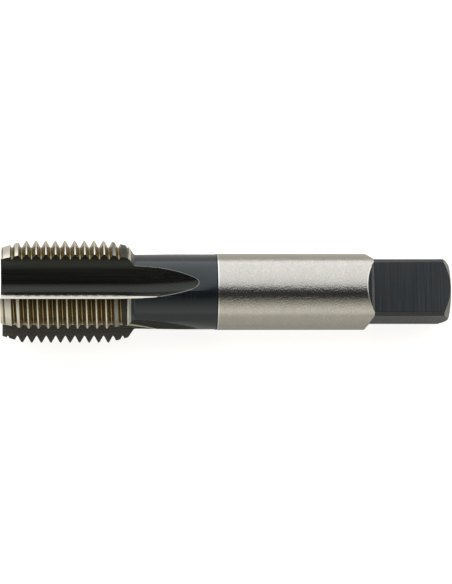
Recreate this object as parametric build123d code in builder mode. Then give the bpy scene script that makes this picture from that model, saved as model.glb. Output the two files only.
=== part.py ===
from build123d import *
import os
from math import acos, cos, degrees, radians, sin, tan

# A straight-flute hand tap, M16 x 1.5 right-hand, ground from one blank of high-speed steel.
# Its parts are worked out standing on the tip, with the axis along +Z, and it is laid down at the end.

# ---- driving dimensions, millimetres and degrees -------------------------------------------------

overall_length = 70.0

# thread
pitch = 1.5
thread_diameter = 16.1          # over the crests: a finishing tap cuts a little over nominal
thread_angle = 60.0
crest_flat = 0.17
root_flat = 0.10
thread_length = 19.7            # tip to the shoulder behind the last tooth
first_groove = 0.36             # height of the first groove where it passes the +X side
lead_length = 3.4
lead_angle = 17.0               # slope of the tip's chamfer over the first two threads
tail_length = 3.0
tail_angle = 15.0               # slope that lets the last teeth fade out
shoulder_angle = 55.0           # slope from the last tooth down to the neck

# neck and shank
neck_diameter = 11.8
neck_fillet = 0.45
shank_start = 33.7
shank_diameter = 12.0
shank_edge = 0.6                # length of the ground edge in front of the shank

# square drive
square_sides = 4
across_flats = 9.0
square_length = 12.0
square_shoulder_angle = 52.0
square_turn = 9.0               # the flats are milled this far round from the flutes
end_face_diameter = 8.9
end_chamfer_angle = 55.0

# flutes
flutes = 4
land_angle = 36.9               # what is left of the crest circle between two flutes
flute_straight = 17.9           # from the tip, before the grinding wheel swings out on its arc
wheel_radius = 41.2             # axis of the wheel to that corner of the floor
floor_corner_radius = 3.47      # axis to the sharp corner of the floor, before nose_radius
floor_corner_offset = 0.83      # that corner lies this far towards the cutting face
nose_radius = 1.88
rake_angle = 7.5                # hook of the cutting face against a radial line
face_depth = 2.39
hook_radius = 0.8
heel_lean = 24.4                # heel wall against the flute's centre line
heel_depth = 2.02
heel_radius = 2.9

# centre holes, between which the tap was ground
centre_drill_diameter = 1.6
centre_diameter = 3.35
centre_depth = 3.4
centre_angle = 60.0

overrun = 0.4                   # how far a cutter reaches past what it cuts

# ---- sizes worked out from them ------------------------------------------------------------------

crest_radius = thread_diameter / 2
neck_radius = neck_diameter / 2
shank_radius = shank_diameter / 2
half_flat = across_flats / 2
end_face_radius = end_face_diameter / 2

flank_slope = tan(radians(thread_angle / 2))
root_radius = crest_radius - (pitch - crest_flat - root_flat) / 2 / flank_slope
tip_radius = crest_radius - lead_length * tan(radians(lead_angle))
tail_radius = crest_radius - tail_length * tan(radians(tail_angle))
neck_start = thread_length + (tail_radius - neck_radius) / tan(radians(shoulder_angle))
square_start = overall_length - square_length
end_chamfer_start = overall_length - (shank_radius - end_face_radius) / tan(radians(end_chamfer_angle))

flat_top = shank_radius + overrun
flat_top_start = square_start - (flat_top - half_flat) / tan(radians(square_shoulder_angle))

flute_step = 360 / flutes
half_flute = (flute_step - land_angle) / 2
face_lean = half_flute - rake_angle
wheel_lift = crest_radius + overrun - floor_corner_radius
wheel_swing = degrees(acos(1 - wheel_lift / wheel_radius))
flute_top = crest_radius * (1 - cos(radians(half_flute))) + overrun


# ---- blank: everything that is turned ------------------------------------------------------------

with BuildPart() as blank:
    with BuildSketch(Plane.XZ) as turned_outline:
        with BuildLine():
            Polyline(
                (0, 0),
                (tip_radius, 0),
                (crest_radius, lead_length),
                (crest_radius, thread_length - tail_length),
                (tail_radius, thread_length),
                (neck_radius, neck_start),
                (neck_radius, shank_start - shank_edge),
                (shank_radius, shank_start),
                (shank_radius, end_chamfer_start),
                (end_face_radius, overall_length),
                (0, overall_length),
                close=True,
            )
        make_face()
        neck_corner = turned_outline.vertices().sort_by_distance((neck_radius, neck_start))[0]
        fillet(neck_corner, radius=neck_fillet)
    revolve(axis=Axis.Z)

# ---- flute cutter: the wheel's section run straight, then swung out on the wheel's arc -------------


def along_wall(edge_angle, lean, depth):
    """Point at a depth below the crest circle, on a wall that starts at edge_angle on it."""
    return (
        crest_radius * cos(radians(edge_angle)) - depth * cos(radians(lean)),
        crest_radius * sin(radians(edge_angle)) - depth * sin(radians(lean)),
    )


with BuildPart() as flute_cutter:
    with BuildSketch(Plane.XY.offset(flute_straight)) as wheel_section:
        with BuildLine():
            FilletPolyline(
                along_wall(half_flute, face_lean, -flute_top),
                along_wall(half_flute, face_lean, face_depth),
                (floor_corner_radius, floor_corner_offset),
                along_wall(-half_flute, -heel_lean, heel_depth),
                along_wall(-half_flute, -heel_lean, -flute_top),
                radius=[hook_radius, nose_radius, heel_radius],
            )
            Line(
                along_wall(half_flute, face_lean, -flute_top),
                along_wall(-half_flute, -heel_lean, -flute_top),
            )
        make_face()
    extrude(amount=-(flute_straight + overrun))
    wheel_axis = Axis((floor_corner_radius + wheel_radius, 0, flute_straight), (0, 1, 0))
    revolve(wheel_section.sketch, axis=wheel_axis, revolution_arc=wheel_swing)


# ---- thread cutter: one groove's worth of helix, long enough to cross one land ---------------------

groove_span = land_angle + half_flute
groove_top = crest_radius + crest_flat / 2
groove_half_width = root_flat / 2 + (groove_top - root_radius) * flank_slope

with BuildPart() as groove_cutter:
    with BuildLine() as groove_path:
        Helix(pitch=pitch, height=pitch * groove_span / 360, radius=crest_radius)
    with BuildSketch(Plane.XZ):
        with BuildLine():
            Polyline(
                (root_radius, -root_flat / 2),
                (groove_top, -groove_half_width),
                (groove_top, groove_half_width),
                (root_radius, root_flat / 2),
                close=True,
            )
        make_face()
    sweep(path=groove_path.line, is_frenet=True)

groove_starts = []
for land in range(flutes):
    start_angle = flute_step * (land + 0.5) - groove_span / 2
    for turn in range(int(neck_start / pitch) + 1):
        height = first_groove + pitch * (turn + start_angle / 360)
        groove_starts.append(Location((0, 0, height), (0, 0, start_angle)))

# ---- square drive: one flat with its sloping shoulder ----------------------------------------------

with BuildPart() as flat_cutter:
    with BuildSketch(Plane.XZ):
        with BuildLine():
            Polyline(
                (half_flat, square_start),
                (half_flat, overall_length + overrun),
                (flat_top, overall_length + overrun),
                (flat_top, flat_top_start),
                close=True,
            )
        make_face()
    extrude(amount=shank_radius, both=True)

# ---- the tap: blank, flutes, thread, square and centre holes ---------------------------------------

with BuildPart() as upright:
    add(blank.part)
    with PolarLocations(0, flutes):
        add(flute_cutter.part, mode=Mode.SUBTRACT)
    with Locations(groove_starts):
        add(groove_cutter.part, mode=Mode.SUBTRACT)
    with PolarLocations(0, square_sides, start_angle=square_turn):
        add(flat_cutter.part, mode=Mode.SUBTRACT)
    with Locations(Location((0, 0, overall_length)), Location((0, 0, 0), (180, 0, 0))):
        CounterSinkHole(
            radius=centre_drill_diameter / 2,
            counter_sink_radius=centre_diameter / 2,
            depth=centre_depth,
            counter_sink_angle=centre_angle,
        )

# ---- laid down as it comes to rest: on the edges of two lands, with a flute straight below ---------

axis_height = crest_radius * cos(radians(half_flute))
lying = Plane(origin=(-overall_length / 2, 0, axis_height), x_dir=(0, 0, 1), z_dir=(1, 0, 0))

with BuildPart(lying) as thread_tap:
    add(upright.part)

thread_tap.part.label = "thread_tap"

os.makedirs("parts", exist_ok=True)
export_step(thread_tap.part, "parts/thread_tap.step")
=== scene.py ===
import math

import bpy
from mathutils import Matrix, Vector


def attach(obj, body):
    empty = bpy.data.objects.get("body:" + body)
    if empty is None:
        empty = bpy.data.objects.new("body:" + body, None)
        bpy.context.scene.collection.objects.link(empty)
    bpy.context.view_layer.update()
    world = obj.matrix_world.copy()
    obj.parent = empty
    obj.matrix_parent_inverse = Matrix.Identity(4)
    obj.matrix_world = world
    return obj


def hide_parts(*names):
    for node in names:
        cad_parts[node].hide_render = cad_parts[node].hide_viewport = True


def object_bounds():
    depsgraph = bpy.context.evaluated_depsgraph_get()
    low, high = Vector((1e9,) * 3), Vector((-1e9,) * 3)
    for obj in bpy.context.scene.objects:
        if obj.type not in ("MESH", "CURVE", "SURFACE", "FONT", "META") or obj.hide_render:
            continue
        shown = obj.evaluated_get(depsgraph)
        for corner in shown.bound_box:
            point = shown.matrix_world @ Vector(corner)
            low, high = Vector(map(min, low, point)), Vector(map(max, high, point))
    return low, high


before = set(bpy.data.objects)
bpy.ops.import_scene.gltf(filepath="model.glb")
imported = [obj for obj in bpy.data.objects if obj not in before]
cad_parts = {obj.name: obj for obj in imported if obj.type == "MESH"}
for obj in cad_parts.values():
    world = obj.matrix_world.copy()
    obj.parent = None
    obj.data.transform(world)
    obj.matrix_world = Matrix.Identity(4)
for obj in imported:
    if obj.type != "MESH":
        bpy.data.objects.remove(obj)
CAD_LOW, CAD_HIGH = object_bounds()

bl_info = {
    "name": "Thread Tap",
    "version": (1, 0, 0),
    "blender": (4, 5, 0),
    "location": "3D View > Sidebar > Thread Tap",
    "description": "Models a straight-flute hand tap with a ground shank and a square drive",
    "category": "Add Mesh",
}

MM = 1000.0  # millimetres in a metre: the tap is made in millimetres, and scaled when it is laid
OVERRUN = 0.4  # millimetres that a cutter reaches past what it cuts
CLOSE = 0.001  # places less than this many millimetres apart count as the same
MERGED = 1e-5  # points less than this many millimetres apart are made one
PIECE = "tap_body"
NODE = "thread_tap"
LYING = (math.pi, -math.pi / 2, 0)  # turns the upright tap to lie with its tip towards -X
CENTRE_CONE = math.radians(60)  # the standard cone of a centre hole
SHARP = math.radians(12)  # faces that meet at more than this have an edge between them
SMOOTH = math.radians(25)  # faces that meet at less than this are shaded as one surface
FACING = 0.9  # a face looks along an axis when its normal has this much of it


# ---- small tools ---------------------------------------------------------------------------------


def linear(hex_colour):
    """An sRGB hex colour as the three linear values that the shaders work in."""
    channels = [int(hex_colour[i : i + 2], 16) / 255 for i in (1, 3, 5)]
    return [c / 12.92 if c <= 0.04045 else ((c + 0.055) / 1.055) ** 2.4 for c in channels]


def length(name, description, millimetres):
    return bpy.props.FloatProperty(
        name=name, description=description, default=millimetres / MM, unit="LENGTH", precision=5
    )


def angle(name, description, degrees):
    return bpy.props.FloatProperty(
        name=name, description=description, default=math.radians(degrees), unit="ROTATION"
    )


def number(name, description, value):
    return bpy.props.FloatProperty(name=name, description=description, default=value)


def count(name, description, value):
    return bpy.props.IntProperty(name=name, description=description, default=value)


def colour(name, description, hex_colour):
    return bpy.props.FloatVectorProperty(
        name=name,
        description=description,
        default=linear(hex_colour),
        subtype="COLOR",
        min=0,
        max=1,
    )


def scaled(rgb, share):
    return [channel * share for channel in rgb]


def add_node(tree, kind, links=None, **settings):
    """Adds one node; links gives its sockets a value or another node's output."""
    made = tree.nodes.new(kind)
    for key, value in settings.items():
        setattr(made, key, value)
    for socket, value in (links or {}).items():
        if isinstance(value, bpy.types.NodeSocket):
            tree.links.new(value, made.inputs[socket])
        elif hasattr(made.inputs[socket].default_value, "__len__") and len(value) == 3:
            size = len(made.inputs[socket].default_value)
            made.inputs[socket].default_value = (*value, 1.0)[:size]
        else:
            made.inputs[socket].default_value = value
    return made


# ---- what a user would change --------------------------------------------------------------------


class TapSizes(bpy.types.PropertyGroup):
    overall_length: length(
        "Overall length", "Cutting tip to end face", (CAD_HIGH.x - CAD_LOW.x) * MM
    )
    thread_diameter: length("Thread diameter", "Over the crests", 16.1)
    pitch: length("Pitch", "Crest to crest", 1.5)
    crest_flat: length("Crest flat", "Width left at the top of a slightly worn tooth", 0.2)
    root_flat: length("Root flat", "Width at the bottom of the groove", 0.10)
    thread_angle: angle("Thread angle", "Between the two flanks of a groove", 60.0)
    first_groove: length("First groove", "Height of the groove where the helix starts", 0.36)
    thread_length: length("Thread length", "Tip to the shoulder behind the last tooth", 19.7)
    lead_length: length("Lead length", "Chamfered teeth at the tip", 3.4)
    lead_angle: angle("Lead angle", "Slope of the chamfered teeth", 17.0)
    tail_length: length("Tail length", "Where the last teeth fade out", 3.0)
    tail_angle: angle("Tail angle", "Slope of the fading teeth", 15.0)
    tail_rubbed: length("Rubbed tail", "How far along that slope the oxide is rubbed thin", 1.75)
    tail_oxide: length("Tail oxide", "How far along that slope there is oxide", 2.85)
    shoulder_angle: angle("Shoulder angle", "Slope down to the neck", 55.0)
    shoulder_ground: length("Ground shoulder", "How far down the wheel cleaned it", 0.42)
    neck_diameter: length("Neck diameter", "Between thread and shank", 11.8)
    neck_fillet: length("Neck fillet", "Radius at the foot of the shoulder", 0.45)
    shank_start: length("Shank start", "Tip to the full shank", 33.7)
    shank_edge: length("Shank edge", "Length of the slope in front of the shank", 0.6)
    shank_rim: length("Shank rim", "Burnished edge at the top of that slope", 0.2)
    nick_width: length("Nick width", "Fine dark groove in front of that edge", 0.16)
    nick_depth: length("Nick depth", "How deep that groove is", 0.1)
    shank_diameter: length("Shank diameter", "Ground cylinder", 12.0)
    across_flats: length("Across flats", "Size of the square", 9.0)
    square_length: length("Square length", "Flats, without their shoulder", 12.0)
    square_shoulder: angle("Square shoulder", "Slope at the end of the flats", 52.0)
    foot_length: length("Foot length", "Lower part of that slope, where it is scuffed", 0.42)
    foot_hollow: angle("Foot hollow", "How much flatter that part is", 3.0)
    square_turn: angle("Square turn", "The flats are milled this far round from the flutes", 9.0)
    end_face_diameter: length("End face", "Flat end inside the chamfer", 8.9)
    end_chamfer: angle("End chamfer", "Slope of the chamfer on the square end", 55.0)
    flutes: count("Flutes", "Number of flutes and lands", 4)
    land_angle: angle("Land angle", "What is left of the crest circle between two flutes", 36.9)
    flute_straight: length("Straight flute", "From the tip, before the wheel swings out", 17.9)
    wheel_radius: length("Wheel radius", "Arc that the wheel leaves at the run-out", 41.2)
    floor_radius: length("Floor radius", "Axis to the corner of the flute's floor", 3.47)
    floor_offset: length("Floor offset", "That corner lies this far towards the cutting face", 0.83)
    nose_radius: length("Nose radius", "Rounding of that corner", 1.88)
    rake_angle: angle("Rake angle", "Hook of the cutting face", 7.5)
    face_depth: length("Face depth", "Cutting face, crest to hook", 2.39)
    hook_radius: length("Hook radius", "Rounding below the cutting face", 0.8)
    heel_lean: angle("Heel lean", "Heel wall against the flute's centre line", 24.4)
    heel_depth: length("Heel depth", "Heel wall, crest to floor", 2.02)
    heel_radius: length("Heel radius", "Rounding below the heel", 2.9)
    reground_straight: length("Reground straight", "Tip to where its wheel swings out", 16.5)
    reground_depth: length("Reground depth", "Reground cutting face, crest to hook", 2.79)
    reground_floor: length("Reground floor", "Width of the facet ground below the hook", 1.2)
    reground_lean: angle("Reground lean", "That facet's slope towards the flute's middle", 17.8)
    reground_skim: angle("Reground skim", "How far round the cutting face was ground back", 0.09)
    worn_rim: length("Worn rim", "Width of the edge rubbed bright round a flute's end", 0.05)
    ground_rim: length("Ground rim", "Width of the bright edge between shank and square", 0.1)
    centre_drill: length("Centre drill", "Diameter of the pilot hole", 1.6)
    centre_diameter: length("Centre diameter", "Mouth of the centre hole", 3.35)
    centre_depth: length("Centre depth", "Depth of the pilot hole", 3.4)
    square_sides: count("Square sides", "Flats of the square drive", 4)
    sides: count("Sides", "Faces round the blank and in one turn of the thread", 256)
    hole_sides: count("Hole sides", "Faces round a centre hole", 64)
    run_out_steps: count("Run-out steps", "Faces along the arc of a flute's run-out", 40)
    corner_steps: count("Corner steps", "Faces round a corner of a flute's floor", 8)
    fillet_steps: count("Fillet steps", "Faces across the neck's fillet", 5)


class TapFinishes(bpy.types.PropertyGroup):
    shank: colour("Shank", "Cylindrically ground high-speed steel", "#B4B2AA")
    crest: colour("Crest", "Ground crests, lead and shoulder", "#D3D1C6")
    flank: colour("Flank", "Form-ground flanks and roots", "#968B6E")
    cutting_face: colour("Cutting face", "Reground strip along the cutting edge", "#BFBBAE")
    neck_oxide: colour("Neck oxide", "Black oxide on turned steel", "#14181C")
    flute_oxide: colour("Flute oxide", "Black oxide on the ground flutes", "#0C0C0B")
    square_oxide: colour("Square oxide", "Black oxide on milled steel", "#252B2F")
    thin_oxide: colour("Thin oxide", "Corners of the square", "#1D1F20")
    scuffed_oxide: colour("Scuffed oxide", "Foot of the square's shoulder", "#585754")
    rubbed_oxide: colour("Rubbed oxide", "Edges where the oxide has worn through", "#84857F")
    burnished: colour("Burnished edge", "Stoned edges of the shank", "#D2D4D4")
    neck_tint: colour("Neck tint", "Colour of the neck's gloss", "#F0FCFF")
    flute_tint: colour("Flute tint", "Colour of the flutes' gloss", "#F8FFF3")
    square_tint: colour("Square tint", "Colour of the square's gloss", "#ECF8FF")
    square_patina: colour("Square patina", "Brown film in patches on the square", "#2A211B")


class StageSettings(bpy.types.PropertyGroup):
    floor_size: length("Floor size", "Side of the square floor", 4000.0)
    floor_colour: colour("Floor colour", "Matt board, before its own glow", "#BDB8AB")
    floor_roughness: number("Floor roughness", "Of the matt board", 0.9)
    floor_glow: number("Floor glow", "Light of its own that the camera sees in the board", 0.85)
    floor_mirrored: number("Floor mirrored", "The same, seen in the tap's gloss", 0.27)
    camera_elevation: angle("Camera elevation", "Above the horizon", 71.0)
    camera_distance: length("Camera distance", "From the tap's axis", 361.0)
    camera_abeam: length("Camera abeam", "Where along the tap the camera stands", -18.0)
    camera_aim: length("Camera aim", "Where along the tap the camera points", 0.075)
    camera_drop: length("Camera drop", "The camera points this far below the tap's axis", 0.08)
    camera_lens: length("Camera lens", "On a 36 mm sensor", 141.75)


# ---- finishes ------------------------------------------------------------------------------------

MIX_SHARE, MIX_FROM, MIX_TO, MIXED = 0, 6, 7, 2  # sockets of a Mix node that mixes colours
NOISE_SPAN = {"From Min": 0.28, "From Max": 0.72}  # where most of a noise's values lie
NOISE_ROUGHNESS = 0.6  # how much of a noise is in its finer grain
BROAD = 6  # ground steel has streaks this much broader than its marks
BROAD_SHARE = 0.5
GROUND_SWING = (-0.04, 0.05)  # what the marks take off the roughness, and add to it
SPECKLE_MM = (0.17, 0.25, 0.25)  # grain that the wheel's grit leaves, drawn coarse enough to show
ACROSS = 0.25  # quarter of a turn: marks draw the gloss out at right angles to themselves
CLOUDS_MM = (3.0, 3.0, 3.0)  # patches where the oxide took unevenly
CLOUD_SHARE = 0.6
OXIDE_SWING = (-0.05, 0.08)
BLOOM = linear("#D3EDFF")  # the bluish haze of dried oil on the oxide
BLOOM_ROUGHNESS = 0.3


def streaks(tree, marks_mm, detail=3.0):
    """Noise drawn out along the way the surface was worked; marks_mm is its grain in X, Y and Z."""
    place = add_node(tree, "ShaderNodeTexCoord")
    grain = add_node(
        tree,
        "ShaderNodeMapping",
        {"Vector": place.outputs["Object"], "Scale": [MM / size for size in marks_mm]},
    )
    noise = add_node(
        tree,
        "ShaderNodeTexNoise",
        {
            "Vector": grain.outputs["Vector"],
            "Scale": 1.0,
            "Detail": detail,
            "Roughness": NOISE_ROUGHNESS,
        },
    )
    return noise.outputs["Fac"]


def marked(tree, rgb, marks_mm, contrast, depth_mm, roughness, patches):
    """Colour, roughness and relief of a surface with fine marks and patches of another colour.

    roughness is a range; patches are a noise, the most that they cover, and their colour.
    """
    fine = streaks(tree, marks_mm)
    tone = scaled(rgb, 1 - contrast)
    for noise, most, other in ((fine, 1.0, scaled(rgb, 1 + contrast)), patches):
        share = add_node(
            tree, "ShaderNodeMapRange", {"Value": noise, **NOISE_SPAN, "To Max": most}
        )
        mix = {MIX_SHARE: share.outputs["Result"], MIX_FROM: tone, MIX_TO: other}
        tone = add_node(tree, "ShaderNodeMix", mix, data_type="RGBA").outputs[MIXED]
    gloss = add_node(
        tree,
        "ShaderNodeMapRange",
        {"Value": fine, **NOISE_SPAN, "To Min": roughness[0], "To Max": roughness[1]},
    )
    relief = add_node(
        tree, "ShaderNodeBump", {"Height": fine, "Distance": depth_mm / MM, "Strength": 1.0}
    )
    return {
        "Base Color": tone,
        "Roughness": gloss.outputs["Result"],
        "Normal": relief.outputs["Normal"],
    }


def new_material(name):
    material = bpy.data.materials.new(name)
    material.use_nodes = True
    material.node_tree.nodes.clear()
    return material, material.node_tree


def ground_steel(name, rgb, roughness, marks_mm, contrast, depth_mm, around=None, speckle_mm=0.0):
    """Bare ground steel: bright, slightly warm, with fine parallel marks that smear its gloss.

    A real wheel's marks are too fine to show at this size, so marks_mm is coarser. around is how
    much marks that run round the tap smear it, and speckle_mm is how deep the grit bit.
    """
    material, tree = new_material(name)
    broad = streaks(tree, [size * BROAD for size in marks_mm], detail=1.0)
    links = marked(
        tree,
        rgb,
        marks_mm,
        contrast,
        depth_mm,
        [roughness + swing for swing in GROUND_SWING],
        (broad, BROAD_SHARE, scaled(rgb, 1 - contrast)),
    )
    links["Metallic"] = 1.0
    if speckle_mm:
        speckle = {
            "Height": streaks(tree, SPECKLE_MM, detail=2.0),
            "Distance": speckle_mm / MM,
            "Strength": 1.0,
            "Normal": links["Normal"],
        }
        links["Normal"] = add_node(tree, "ShaderNodeBump", speckle).outputs["Normal"]
    if around:
        tangent = add_node(tree, "ShaderNodeTangent", direction_type="RADIAL", axis="X")
        links["Anisotropic"] = around
        links["Anisotropic Rotation"] = ACROSS
        links["Tangent"] = tangent.outputs["Tangent"]
    shader = add_node(tree, "ShaderNodeBsdfPrincipled", links)
    add_node(tree, "ShaderNodeOutputMaterial", {"Surface": shader.outputs[0]})
    return material


def black_oxide(
    name,
    rgb,
    roughness,
    marks_mm,
    contrast,
    depth_mm,
    ior=1.5,
    patina=None,
    tint=(1, 1, 1),
    bloom=0.0,
):
    """Black oxide, a thin dark magnetite skin: nearly black, with a satin gloss over the marks."""
    material, tree = new_material(name)
    clouds = streaks(tree, CLOUDS_MM, detail=2.0)
    links = marked(
        tree,
        rgb,
        marks_mm,
        contrast,
        depth_mm,
        [roughness + swing for swing in OXIDE_SWING],
        (clouds, CLOUD_SHARE, rgb if patina is None else patina),
    )
    links["IOR"] = ior
    links["Specular Tint"] = tint
    links["Sheen Weight"] = bloom
    links["Sheen Roughness"] = BLOOM_ROUGHNESS
    links["Sheen Tint"] = BLOOM
    shader = add_node(tree, "ShaderNodeBsdfPrincipled", links)
    add_node(tree, "ShaderNodeOutputMaterial", {"Surface": shader.outputs[0]})
    return material


def make_finishes(colours):
    """One material for each way that the tap's surfaces were worked."""
    return {
        # ground between centres: a soft mirror, drawn out along the shank and slightly speckled
        "shank": ground_steel(
            "ground_shank_steel",
            colours.shank,
            roughness=0.15,
            marks_mm=(0.2, 0.4, 0.4),
            contrast=0.12,
            depth_mm=0.003,
            around=0.6,
            speckle_mm=0.035,
        ),
        # ground over the tops of the teeth: pale, with a dull gloss
        "crest": ground_steel(
            "ground_crest_steel",
            colours.crest,
            roughness=0.34,
            marks_mm=(0.12, 6, 6),
            contrast=0.08,
            depth_mm=0.0004,
            around=0.3,
        ),
        # form-ground by the thread wheel: the same marks round the tap, browner and glossier
        "flank": ground_steel(
            "ground_flank_steel",
            colours.flank,
            roughness=0.19,
            marks_mm=(0.12, 6, 6),
            contrast=0.08,
            depth_mm=0.0004,
            around=0.3,
        ),
        # ground along the flute: bright, with marks that run lengthwise
        "face": ground_steel(
            "ground_face_steel",
            colours.cutting_face,
            roughness=0.22,
            marks_mm=(8, 0.12, 0.12),
            contrast=0.08,
            depth_mm=0.0005,
        ),
        # turned, then blackened: a smooth blue-black with marks round the neck
        "neck": black_oxide(
            "neck_black_oxide",
            colours.neck_oxide,
            roughness=0.2,
            marks_mm=(0.3, 10, 10),
            contrast=0.25,
            depth_mm=0.0008,
            ior=1.55,
            tint=colours.neck_tint,
            bloom=0.25,
        ),
        # ground, then blackened: the deepest black, streaked along the flute
        "flute": black_oxide(
            "flute_black_oxide",
            colours.flute_oxide,
            roughness=0.28,
            marks_mm=(14, 0.22, 0.22),
            contrast=0.5,
            depth_mm=0.02,
            ior=1.45,
            tint=colours.flute_tint,
        ),
        # milled, then blackened: a greyer satin with the cutter's marks across the flats
        "square": black_oxide(
            "square_black_oxide",
            colours.square_oxide,
            roughness=0.42,
            marks_mm=(0.2, 14, 14),
            contrast=1.0,
            depth_mm=0.0015,
            ior=1.45,
            patina=colours.square_patina,
            tint=colours.square_tint,
            bloom=0.1,
        ),
        # the shank's own ground surface under a thin oxide: speckled where tools grip it
        "corner": black_oxide(
            "thin_black_oxide",
            colours.thin_oxide,
            roughness=0.35,
            marks_mm=(0.35, 0.5, 0.5),
            contrast=0.6,
            depth_mm=0.008,
        ),
        # where the jaws of a wrench rub against the shoulder: grey, with steel showing through
        "foot": black_oxide(
            "scuffed_black_oxide",
            colours.scuffed_oxide,
            roughness=0.4,
            marks_mm=(6, 0.4, 0.4),
            contrast=0.3,
            depth_mm=0.002,
        ),
        # where handling wore the oxide off an edge: a thin line of dull steel
        "rim": ground_steel(
            "rubbed_edge_steel",
            colours.rubbed_oxide,
            roughness=0.35,
            marks_mm=(0.3, 0.3, 0.3),
            contrast=0.1,
            depth_mm=0.0,
        ),
        # broken with a fine stone: the brightest steel on the tap
        "edge": ground_steel(
            "burnished_edge_steel",
            colours.burnished,
            roughness=0.2,
            marks_mm=(0.3, 0.3, 0.3),
            contrast=0.05,
            depth_mm=0.0,
        ),
    }


# the material slots, in the same order on the tap and on every cutter but the thread's groove,
# which has only the flank's
FINISH_ORDER = (
    "shank",
    "crest",
    "flank",
    "face",
    "neck",
    "flute",
    "square",
    "corner",
    "foot",
    "rim",
    "edge",
)


# ---- modelling by hand, in millimetres, with the tap standing on its tip -------------------------


def deselect_all():
    if bpy.context.mode != "OBJECT":
        bpy.ops.object.mode_set(mode="OBJECT")
    bpy.ops.object.select_all(action="DESELECT")


def work_on(piece):
    deselect_all()
    piece.select_set(True)
    bpy.context.view_layer.objects.active = piece


def edit(piece, how="DESELECT"):
    """Opens a piece in edit mode with nothing selected, or with how="SELECT" everything."""
    work_on(piece)
    bpy.ops.object.mode_set(mode="EDIT")
    bpy.ops.mesh.select_all(action=how)


def select(piece, kind, wanted):
    """Selects the faces or edges that pass a test, and leaves the piece in edit mode."""
    edit(piece)
    bpy.ops.mesh.select_mode(type=kind)
    bpy.ops.object.mode_set(mode="OBJECT")
    elements = {"FACE": piece.data.polygons, "EDGE": piece.data.edges}[kind]
    for element in elements:
        element.select = bool(wanted(element))
    if not any(element.select for element in elements):
        raise RuntimeError(f"no {kind.lower()} of {piece.name} passes the test")
    bpy.ops.object.mode_set(mode="EDIT")


def select_faces(piece, wanted):
    """Selects faces by a test of their centre and normal."""
    select(piece, "FACE", lambda face: wanted(face.center, face.normal))


def select_edges(piece, wanted):
    """Selects edges by a test of their two ends."""

    def ends_wanted(edge):
        first, second = edge.vertices
        return wanted(piece.data.vertices[first].co, piece.data.vertices[second].co)

    select(piece, "EDGE", ends_wanted)


def rub_border(piece, first, second, width, key):
    """Breaks the sharp edges between two finishes to a narrow rim with a finish of its own."""
    pair = {FINISH_ORDER.index(first), FINISH_ORDER.index(second)}
    sides = {}
    for face in piece.data.polygons:
        for edge_key in face.edge_keys:
            sides.setdefault(edge_key, []).append((face.material_index, face.normal.copy()))

    def between(edge):
        slots, normals = zip(*sides[edge.key])
        return set(slots) == pair and normals[0].angle(normals[-1], 0.0) > SHARP

    select(piece, "EDGE", between)
    bpy.ops.mesh.bevel(
        offset=width,
        segments=1,
        material=FINISH_ORDER.index(key),
        clamp_overlap=False,
        loop_slide=False,
    )
    bpy.ops.object.mode_set(mode="OBJECT")


def give_finishes(piece, materials):
    """Gives a piece a slot for every finish, in the order of FINISH_ORDER."""
    for material in materials:
        piece.data.materials.append(material)


def finish_faces(piece, key, wanted=lambda centre, normal: True):
    """Gives the faces that pass a test one of the finishes, and leaves the piece in edit mode."""
    select_faces(piece, wanted)
    piece.active_material_index = FINISH_ORDER.index(key)
    bpy.ops.object.material_slot_assign()


def draw_outline(name, points, rounded=(), corner_steps=1):
    """Draws a closed outline point by point, fills it, and rounds corners by place and radius."""
    deselect_all()
    bpy.ops.mesh.primitive_plane_add(size=1.0, location=(0, 0, 0))
    drawn = bpy.context.object
    drawn.name = name
    bpy.ops.object.mode_set(mode="EDIT")
    bpy.ops.mesh.select_mode(type="VERT")
    bpy.ops.mesh.select_all(action="SELECT")
    bpy.ops.mesh.merge(type="CENTER")
    bpy.ops.transform.translate(value=points[0])
    for here, there in zip(points, points[1:]):
        step = [b - a for a, b in zip(here, there)]
        bpy.ops.mesh.extrude_vertices_move(TRANSFORM_OT_translate={"value": step})
    bpy.ops.mesh.select_all(action="SELECT")
    bpy.ops.mesh.edge_face_add()
    for place, radius in rounded:
        before, corner, after = (
            Vector(points[i % len(points)]) for i in (place - 1, place, place + 1)
        )
        opening = (before - corner).angle(after - corner)
        trim = radius / math.tan(opening / 2)
        bpy.ops.mesh.select_all(action="DESELECT")
        bpy.ops.object.mode_set(mode="OBJECT")
        nearest = min(drawn.data.vertices, key=lambda v: (v.co - corner).length)
        nearest.select = True
        bpy.ops.object.mode_set(mode="EDIT")
        bpy.ops.mesh.bevel(
            offset=trim, offset_type="OFFSET", segments=corner_steps, affect="VERTICES"
        )
    bpy.ops.object.mode_set(mode="OBJECT")
    return drawn


def apply_modifier(piece, kind, name, **settings):
    """Adds one modifier with its settings, and applies it."""
    work_on(piece)
    modifier = piece.modifiers.new(name, kind)
    for key, value in settings.items():
        setattr(modifier, key, value)
    bpy.ops.object.modifier_apply(modifier=modifier.name)


def mend_normals(piece):
    """Makes doubled points one, then turns every face outwards."""
    edit(piece, "SELECT")
    bpy.ops.mesh.remove_doubles(threshold=MERGED)
    bpy.ops.mesh.select_all(action="SELECT")
    bpy.ops.mesh.normals_make_consistent(inside=False)
    bpy.ops.object.mode_set(mode="OBJECT")


def cut(piece, cutter):
    """Takes the cutter out of the piece; the cut faces keep the cutter's finish."""
    mend_normals(cutter)
    apply_modifier(
        piece,
        "BOOLEAN",
        "cut",
        object=cutter,
        operation="DIFFERENCE",
        solver="MANIFOLD",
        material_mode="TRANSFER",
    )
    bpy.data.objects.remove(cutter, do_unlink=True)


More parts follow.
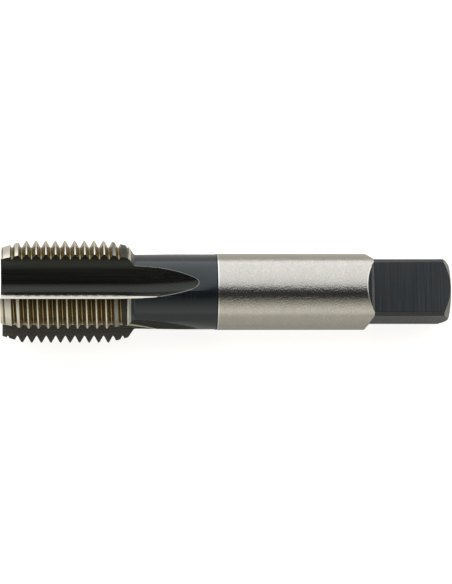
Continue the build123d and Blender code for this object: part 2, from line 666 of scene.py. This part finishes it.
def repeat_round(cutter, copies, first_turn=0.0):
    """Copies a cutter round the tap's axis, each copy with its own mesh."""
    made = [cutter]
    for _ in range(copies - 1):
        work_on(cutter)
        bpy.ops.object.duplicate(linked=False)
        made.append(bpy.context.object)
    for place, piece in enumerate(made):
        work_on(piece)
        piece.rotation_euler = (0, 0, first_turn + 2 * math.pi * place / copies)
        bpy.ops.object.transform_apply(location=False, rotation=True, scale=False)
    return made


def pull_up(rings):
    """Pulls the selected face from ring to ring; each is a height and a radius."""
    for (low, narrow), (high, wide) in zip(rings, rings[1:]):
        bpy.ops.mesh.extrude_region_move(TRANSFORM_OT_translate={"value": (0, 0, high - low)})
        share = wide / narrow
        bpy.ops.transform.resize(value=(share, share, 1), center_override=(0, 0, high))


class Plan:
    """The sizes in millimetres and radians, with those that follow from them."""

    def __init__(self, sizes):
        for key, prop in sizes.bl_rna.properties.items():
            value = getattr(sizes, key, None)
            if isinstance(value, (int, float)):
                setattr(self, key, value * MM if prop.unit == "LENGTH" else value)
        # radii, and half the width of the square
        self.crest = self.thread_diameter / 2
        self.neck = self.neck_diameter / 2
        self.shank = self.shank_diameter / 2
        self.flat = self.across_flats / 2
        # how far a groove's flank runs along the tap for each millimetre of its depth
        self.slope = math.tan(self.thread_angle / 2)
        self.root = self.crest - (self.pitch - self.crest_flat - self.root_flat) / 2 / self.slope
        self.tip = self.crest - self.lead_length * math.tan(self.lead_angle)
        self.tail = self.crest - self.tail_length * math.tan(self.tail_angle)
        shoulder = (self.tail - self.neck) / math.tan(self.shoulder_angle)
        self.neck_start = self.thread_length + shoulder
        self.square_start = self.overall_length - self.square_length
        self.end_face = self.end_face_diameter / 2
        chamfer = (self.shank - self.end_face) / math.tan(self.end_chamfer)
        self.chamfer_start = self.overall_length - chamfer
        self.half_flute = (2 * math.pi / self.flutes - self.land_angle) / 2
        self.face_lean = self.half_flute - self.rake_angle
        lift = self.crest + OVERRUN - self.floor_radius
        self.wheel_swing = math.acos(1 - lift / self.wheel_radius)
        self.flute_top = self.crest * (1 - math.cos(self.half_flute)) + OVERRUN
        self.axis_height = self.crest * math.cos(self.half_flute)

    def along_wall(self, edge_angle, lean, depth):
        """Point at a depth below the crest circle, on a wall that starts at edge_angle on it."""
        return (
            self.crest * math.cos(edge_angle) - depth * math.cos(lean),
            self.crest * math.sin(edge_angle) - depth * math.sin(lean),
        )


def tap_piece():
    piece = bpy.data.objects.get(PIECE)
    if piece is None:
        raise RuntimeError("make the blank first")
    return piece


class TAP_OT_blank(bpy.types.Operator):
    """Turn the blank: thread, shoulder, neck, shank and end chamfer, pulled up ring by ring"""

    bl_idname = "tap.blank"
    bl_label = "Blank"

    def execute(self, context):
        plan = Plan(context.scene.tap_sizes)
        ground_to = plan.thread_length + plan.shoulder_ground
        ground_radius = plan.tail - plan.shoulder_ground * math.tan(plan.shoulder_angle)
        edge_start = plan.shank_start - plan.shank_edge
        rim_start = plan.shank_start - plan.shank_rim / 2
        rim_share = 1 - plan.shank_rim / 2 / plan.shank_edge
        rim_radius = plan.neck + (plan.shank - plan.neck) * rim_share
        tail_start = plan.thread_length - plan.tail_length
        rubbed_radius = plan.crest - plan.tail_rubbed * math.tan(plan.tail_angle)
        oxide_radius = plan.crest - plan.tail_oxide * math.tan(plan.tail_angle)
        # each ring's height and radius, and the finish of the band that ends there
        rings = (
            (0.0, plan.tip, "crest"),
            (plan.lead_length, plan.crest, "crest"),
            (tail_start, plan.crest, "crest"),
            (tail_start + plan.tail_rubbed, rubbed_radius, "rim"),
            (tail_start + plan.tail_oxide, oxide_radius, "flute"),
            (plan.thread_length, plan.tail, "crest"),
            (ground_to, ground_radius, "crest"),
            (plan.neck_start, plan.neck, "neck"),
            (edge_start, plan.neck, "neck"),
            (rim_start - plan.nick_width, rim_radius, "neck"),
            (rim_start - plan.nick_width / 2, rim_radius - plan.nick_depth, "neck"),
            (rim_start, rim_radius, "neck"),
            (plan.shank_start + plan.shank_rim / 2, plan.shank, "edge"),
            (plan.square_start, plan.shank, "shank"),
            (plan.chamfer_start, plan.shank, "corner"),
            (plan.overall_length, plan.end_face, "rim"),
        )
        deselect_all()
        bpy.ops.mesh.primitive_circle_add(vertices=plan.sides, radius=plan.tip, fill_type="NGON")
        blank = context.object
        blank.name = blank.data.name = PIECE
        finishes = make_finishes(context.scene.tap_finishes)
        give_finishes(blank, [finishes[key] for key in FINISH_ORDER])
        bpy.ops.object.mode_set(mode="EDIT")
        bpy.ops.mesh.select_all(action="SELECT")
        pull_up([(height, radius) for height, radius, _ in rings])
        mend_normals(blank)
        for (low, _, _), (high, _, key) in zip(rings, rings[1:]):
            finish_faces(blank, key, lambda centre, normal: low < centre.z < high)
        finish_faces(blank, "square", lambda centre, normal: centre.z > plan.overall_length - CLOSE)
        finish_faces(blank, "crest", lambda centre, normal: centre.z < CLOSE)
        corner = plan.neck_start
        select_edges(blank, lambda a, b: abs(a.z - corner) + abs(b.z - corner) < CLOSE)
        trim = plan.neck_fillet * math.tan(plan.shoulder_angle / 2)
        bpy.ops.mesh.bevel(offset=trim, segments=plan.fillet_steps)
        bpy.ops.object.mode_set(mode="OBJECT")
        return {"FINISHED"}


class TAP_OT_thread(bpy.types.Operator):
    """Grind the right-hand thread with one groove that winds up from below the tip to the neck"""

    bl_idname = "tap.thread"
    bl_label = "Thread"

    def execute(self, context):
        plan = Plan(context.scene.tap_sizes)
        top = plan.crest + plan.crest_flat / 2
        half_width = plan.root_flat / 2 + (top - plan.root) * plan.slope
        run_in = 2 * plan.pitch
        start = plan.first_groove - run_in
        turns = math.ceil((plan.neck_start - start) / plan.pitch) + 1
        groove = draw_outline(
            "groove",
            (
                (plan.root, 0, start - plan.root_flat / 2),
                (top, 0, start - half_width),
                (top, 0, start + half_width),
                (plan.root, 0, start + plan.root_flat / 2),
            ),
        )
        edit(groove, "SELECT")
        bpy.ops.mesh.delete(type="ONLY_FACE")
        bpy.ops.object.mode_set(mode="OBJECT")
        flank = tap_piece().data.materials[FINISH_ORDER.index("flank")]
        groove.data.materials.append(flank)
        apply_modifier(
            groove,
            "SCREW",
            "helix",
            angle=2 * math.pi,
            screw_offset=plan.pitch,
            iterations=turns,
            steps=plan.sides,
            render_steps=plan.sides,
            use_merge_vertices=False,
        )
        for end in (start, start + turns * plan.pitch):
            select_edges(
                groove,
                lambda a, b: max(abs(a.z - end), abs(b.z - end)) < half_width + CLOSE
                and abs(a.y) + abs(b.y) < CLOSE
                and a.x > 0,
            )
            bpy.ops.mesh.edge_face_add()
        cut(tap_piece(), groove)
        return {"FINISHED"}


def grind_flutes(plan, outline, rounded, straight, key):
    """Grinds one section into every flute: straight at first, then out on the wheel's arc."""
    section = [(x, y, straight) for x, y in outline]
    wheel = draw_outline("wheel", section, rounded, plan.corner_steps)
    give_finishes(wheel, tap_piece().data.materials)
    edit(wheel, "SELECT")
    down = -(straight + OVERRUN)
    bpy.ops.mesh.extrude_region_move(TRANSFORM_OT_translate={"value": (0, 0, down)})
    select_faces(wheel, lambda centre, normal: abs(centre.z - straight) < CLOSE)
    bpy.ops.mesh.spin(
        steps=plan.run_out_steps,
        angle=-plan.wheel_swing,
        center=(plan.floor_radius + plan.wheel_radius, 0, straight),
        axis=(0, 1, 0),
    )
    finish_faces(wheel, key)
    # as far as the neck, the cutting face itself is bright
    finish_faces(
        wheel,
        "face",
        lambda centre, normal: abs(normal.y) > FACING
        and centre.y > plan.floor_offset
        and centre.z < plan.neck_start,
    )
    bpy.ops.object.mode_set(mode="OBJECT")
    for cutter in repeat_round(wheel, plan.flutes):
        cut(tap_piece(), cutter)


class TAP_OT_flutes(bpy.types.Operator):
    """Grind the flutes, then grind the cutting faces and a narrow strip below them bright again"""

    bl_idname = "tap.flutes"
    bl_label = "Flutes"

    def execute(self, context):
        plan = Plan(context.scene.tap_sizes)
        outline = (
            plan.along_wall(plan.half_flute, plan.face_lean, -plan.flute_top),
            plan.along_wall(plan.half_flute, plan.face_lean, plan.face_depth),
            (plan.floor_radius, plan.floor_offset),
            plan.along_wall(-plan.half_flute, -plan.heel_lean, plan.heel_depth),
            plan.along_wall(-plan.half_flute, -plan.heel_lean, -plan.flute_top),
        )
        rounded = ((1, plan.hook_radius), (2, plan.nose_radius), (3, plan.heel_radius))
        grind_flutes(plan, outline, rounded, plan.flute_straight, "flute")
        # the second grinding reaches a little deeper than the hook, and skims the cutting face
        edge = plan.half_flute + plan.reground_skim
        hook = plan.along_wall(edge, plan.face_lean, plan.reground_depth)
        floor = (
            hook[0] - plan.reground_floor * math.sin(plan.reground_lean),
            hook[1] - plan.reground_floor * math.cos(plan.reground_lean),
        )
        outline = (
            plan.along_wall(edge, plan.face_lean, -plan.flute_top),
            hook,
            floor,
            # from the facet outwards, the section opens a little towards the middle of the flute
            (plan.crest + OVERRUN, floor[1] - OVERRUN / 4),
        )
        grind_flutes(plan, outline, (), plan.reground_straight, "face")
        return {"FINISHED"}


class TAP_OT_square(bpy.types.Operator):
    """Mill the square drive: four flats, each with a sloping shoulder"""

    bl_idname = "tap.square"
    bl_label = "Square drive"

    def execute(self, context):
        plan = Plan(context.scene.tap_sizes)
        top = plan.shank + OVERRUN
        top_start = plan.square_start - (top - plan.flat) / math.tan(plan.square_shoulder)
        end = plan.overall_length + OVERRUN
        foot_start = plan.square_start - plan.foot_length
        foot_slope = math.tan(plan.square_shoulder - plan.foot_hollow)
        foot_height = plan.flat + plan.foot_length * foot_slope
        mill = draw_outline(
            "mill",
            (
                (plan.flat, -plan.shank, plan.square_start),
                (plan.flat, -plan.shank, end),
                (top, -plan.shank, end),
                (top, -plan.shank, top_start),
                (foot_height, -plan.shank, foot_start),
            ),
        )
        give_finishes(mill, tap_piece().data.materials)
        edit(mill, "SELECT")
        across = (0, 2 * plan.shank, 0)
        bpy.ops.mesh.extrude_region_move(TRANSFORM_OT_translate={"value": across})
        finish_faces(mill, "square")
        finish_faces(
            mill, "foot", lambda centre, normal: foot_start < centre.z < plan.square_start
        )
        bpy.ops.object.mode_set(mode="OBJECT")
        for cutter in repeat_round(mill, plan.square_sides, plan.square_turn):
            cut(tap_piece(), cutter)
        return {"FINISHED"}


class TAP_OT_centres(bpy.types.Operator):
    """Drill the two centre holes that the tap was ground between"""

    bl_idname = "tap.centres"
    bl_label = "Centre holes"

    def execute(self, context):
        plan = Plan(context.scene.tap_sizes)
        drill = plan.centre_drill / 2
        mouth = plan.centre_diameter / 2
        slope = math.tan(CENTRE_CONE / 2)
        cone = (mouth - drill) / slope
        outer = mouth + OVERRUN * slope
        for face, inward in ((0.0, 1), (plan.overall_length, -1)):
            rings = (
                (face - inward * OVERRUN, outer),
                (face + inward * cone, drill),
                (face + inward * plan.centre_depth, drill),
            )
            deselect_all()
            bpy.ops.mesh.primitive_circle_add(
                vertices=plan.hole_sides,
                radius=outer,
                fill_type="NGON",
                location=(0, 0, rings[0][0]),
            )
            centre = context.object
            bpy.ops.object.transform_apply(location=True, rotation=False, scale=False)
            give_finishes(centre, tap_piece().data.materials)
            edit(centre, "SELECT")
            pull_up(rings)
            finish_faces(centre, "rim")
            bpy.ops.object.mode_set(mode="OBJECT")
            cut(tap_piece(), centre)
        return {"FINISHED"}


class TAP_OT_lay_down(bpy.types.Operator):
    """Break the worn edges, set the shading, and lay the tap down in its place"""

    bl_idname = "tap.lay_down"
    bl_label = "Lay down"

    def execute(self, context):
        plan = Plan(context.scene.tap_sizes)
        piece = tap_piece()
        rub_border(piece, "neck", "flute", plan.worn_rim, "rim")
        rub_border(piece, "shank", "square", plan.ground_rim, "crest")
        mend_normals(piece)
        piece.rotation_euler = LYING
        piece.scale = (1 / MM,) * 3
        piece.location = (CAD_LOW.x, 0, plan.axis_height / MM)
        work_on(piece)
        bpy.ops.object.transform_apply(location=True, rotation=True, scale=True)
        bpy.ops.object.shade_smooth_by_angle(angle=SMOOTH)
        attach(piece, "root")
        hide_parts(NODE)
        return {"FINISHED"}


# ---- the stage -----------------------------------------------------------------------------------


def make_floor(settings, plan):
    """A matt white board, tilted as the tap lies: on its thread and on the end of its shank."""
    touch_thread = plan.thread_length - plan.tail_length
    touch_shank = plan.square_start - (plan.shank - plan.flat) / math.tan(plan.square_shoulder)
    rise = plan.axis_height - plan.shank
    tilt = math.atan(rise / (touch_shank - touch_thread))
    deselect_all()
    bpy.ops.mesh.primitive_plane_add(
        size=settings.floor_size,
        location=(CAD_LOW.x + touch_thread / MM, 0, 0),
        rotation=(0, -tilt, 0),
    )
    floor = bpy.context.object
    floor.name = "floor"
    # painted card: it scatters all light, and glows where the camera or a gloss looks at it
    material, tree = new_material("white_board")
    rays = add_node(tree, "ShaderNodeLightPath").outputs
    seen = rays["Is Camera Ray"]
    for other in ("Is Glossy Ray", "Is Transmission Ray"):
        pair = {0: seen, 1: rays[other]}
        seen = add_node(tree, "ShaderNodeMath", pair, operation="MAXIMUM").outputs[0]
    glow = add_node(
        tree,
        "ShaderNodeMapRange",
        {
            "Value": rays["Is Camera Ray"],
            "To Min": settings.floor_mirrored,
            "To Max": settings.floor_glow,
        },
    )
    strength = add_node(
        tree, "ShaderNodeMath", {0: seen, 1: glow.outputs[0]}, operation="MULTIPLY"
    )
    board = add_node(
        tree,
        "ShaderNodeBsdfPrincipled",
        {
            "Base Color": settings.floor_colour,
            "Roughness": settings.floor_roughness,
            "Specular IOR Level": 0.0,
            "Emission Color": (1.0, 1.0, 1.0),
            "Emission Strength": strength.outputs[0],
        },
    )
    add_node(tree, "ShaderNodeOutputMaterial", {"Surface": board.outputs[0]})
    floor.data.materials.append(material)


FRONT_WHITE = (1.0, 0.965, 0.88)  # the tent's cloth looks warmer low down in front
BACK_WHITE = (1.0, 1.0, 1.03)
COOLER_FROM = 60  # degrees
BACK_HORIZON = 180  # degrees

# the tent's brightness by angle: from the front horizon (0) over the zenith (90) to the back (180)
TENT = (
    (0, 1.1),
    (10, 1.1),
    (16, 1.04),
    (23, 0.9),
    (33, 0.64),
    (42, 0.42),
    (49, 0.26),
    (53, 0.08),
    (57, 0.04),
    (72, 0.06),
    (80, 0.1),
    (84, 0.4),
    (88, 0.98),
    (92, 1.1),
    (101, 1.25),
    (112, 1.45),
    (135, 1.55),
    (155, 1.6),
    (165, 1.65),
    (171, 1.85),
    (176, 1.8),
    (180, 1.4),
)


def make_tent():
    """A white light tent along the tap, with a dark slot where the camera looks in."""
    world = bpy.data.worlds.new("light_tent")
    bpy.context.scene.world = world
    world.use_nodes = True
    tree = world.node_tree
    tree.nodes.clear()
    place = add_node(tree, "ShaderNodeTexCoord")
    ways = add_node(tree, "ShaderNodeSeparateXYZ", {"Vector": place.outputs["Generated"]})
    front = add_node(tree, "ShaderNodeMath", {0: ways.outputs["Y"], 1: -1.0}, operation="MULTIPLY")
    turn = add_node(
        tree, "ShaderNodeMath", {0: ways.outputs["Z"], 1: front.outputs[0]}, operation="ARCTAN2"
    )
    share = add_node(tree, "ShaderNodeMath", {0: turn.outputs[0], 1: math.pi}, operation="DIVIDE")
    ramp = add_node(tree, "ShaderNodeValToRGB", {"Fac": share.outputs[0]})
    ramp.color_ramp.interpolation = "LINEAR"
    elements = ramp.color_ramp.elements
    while len(elements) > 1:
        elements.remove(elements[-1])
    for band, (degrees, level) in enumerate(TENT):
        along = degrees / BACK_HORIZON
        element = elements.new(along) if band else elements[0]
        element.position = along
        white = FRONT_WHITE if degrees < COOLER_FROM else BACK_WHITE
        element.color = (*scaled(white, level), 1.0)
    sky = add_node(tree, "ShaderNodeBackground", {"Color": ramp.outputs["Color"], "Strength": 1.0})
    add_node(tree, "ShaderNodeOutputWorld", {"Surface": sky.outputs[0]})


SENSOR = 36.0  # millimetres across
NEAREST = 0.01  # metres in front of the camera that it starts to see


def make_camera(settings, plan):
    """A long lens that looks steeply down on the tap, a little from its tip's side."""
    elevation = settings.camera_elevation
    outward = Vector((0, -math.cos(elevation), math.sin(elevation)))
    axis_point = Vector((0, 0, plan.axis_height / MM))
    stand = axis_point + Vector((settings.camera_abeam, 0, 0)) + outward * settings.camera_distance
    target = axis_point + Vector((settings.camera_aim, 0, -settings.camera_drop))
    look = (target - stand).normalized()
    right = (Vector((1, 0, 0)) - look * look.x).normalized()
    up = right.cross(look)
    deselect_all()
    bpy.ops.object.camera_add()
    camera = bpy.context.object
    turned = Matrix((right, up, -look)).transposed().to_4x4()
    camera.matrix_world = Matrix.Translation(stand) @ turned
    camera.data.lens = settings.camera_lens * MM
    camera.data.sensor_width = SENSOR
    camera.data.clip_start = NEAREST
    bpy.context.scene.camera = camera


class TAP_OT_stage(bpy.types.Operator):
    """Set the white board, the light tent and the camera"""

    bl_idname = "tap.stage"
    bl_label = "Stage"

    def execute(self, context):
        settings = context.scene.tap_stage
        plan = Plan(context.scene.tap_sizes)
        make_floor(settings, plan)
        make_tent()
        make_camera(settings, plan)
        context.scene.view_settings.view_transform = "Standard"
        return {"FINISHED"}


STEPS = (
    TAP_OT_blank,
    TAP_OT_thread,
    TAP_OT_flutes,
    TAP_OT_square,
    TAP_OT_centres,
    TAP_OT_lay_down,
    TAP_OT_stage,
)


class TAP_PT_panel(bpy.types.Panel):
    """Lists the steps in the order in which the tap is made"""

    bl_label = "Thread Tap"
    bl_idname = "TAP_PT_panel"
    bl_space_type = "VIEW_3D"
    bl_region_type = "UI"
    bl_category = "Thread Tap"

    def draw(self, context):
        for step in STEPS:
            self.layout.operator(step.bl_idname)


CLASSES = (TapSizes, TapFinishes, StageSettings, *STEPS, TAP_PT_panel)


def register():
    for cls in CLASSES:
        bpy.utils.register_class(cls)
    bpy.types.Scene.tap_sizes = bpy.props.PointerProperty(type=TapSizes)
    bpy.types.Scene.tap_finishes = bpy.props.PointerProperty(type=TapFinishes)
    bpy.types.Scene.tap_stage = bpy.props.PointerProperty(type=StageSettings)


def unregister():
    del bpy.types.Scene.tap_sizes
    del bpy.types.Scene.tap_finishes
    del bpy.types.Scene.tap_stage
    for cls in reversed(CLASSES):
        bpy.utils.unregister_class(cls)


def main():
    register()
    bpy.ops.tap.blank()
    bpy.ops.tap.thread()
    bpy.ops.tap.flutes()
    bpy.ops.tap.square()
    bpy.ops.tap.centres()
    bpy.ops.tap.lay_down()
    bpy.ops.tap.stage()


if __name__ == "__main__":
    main()
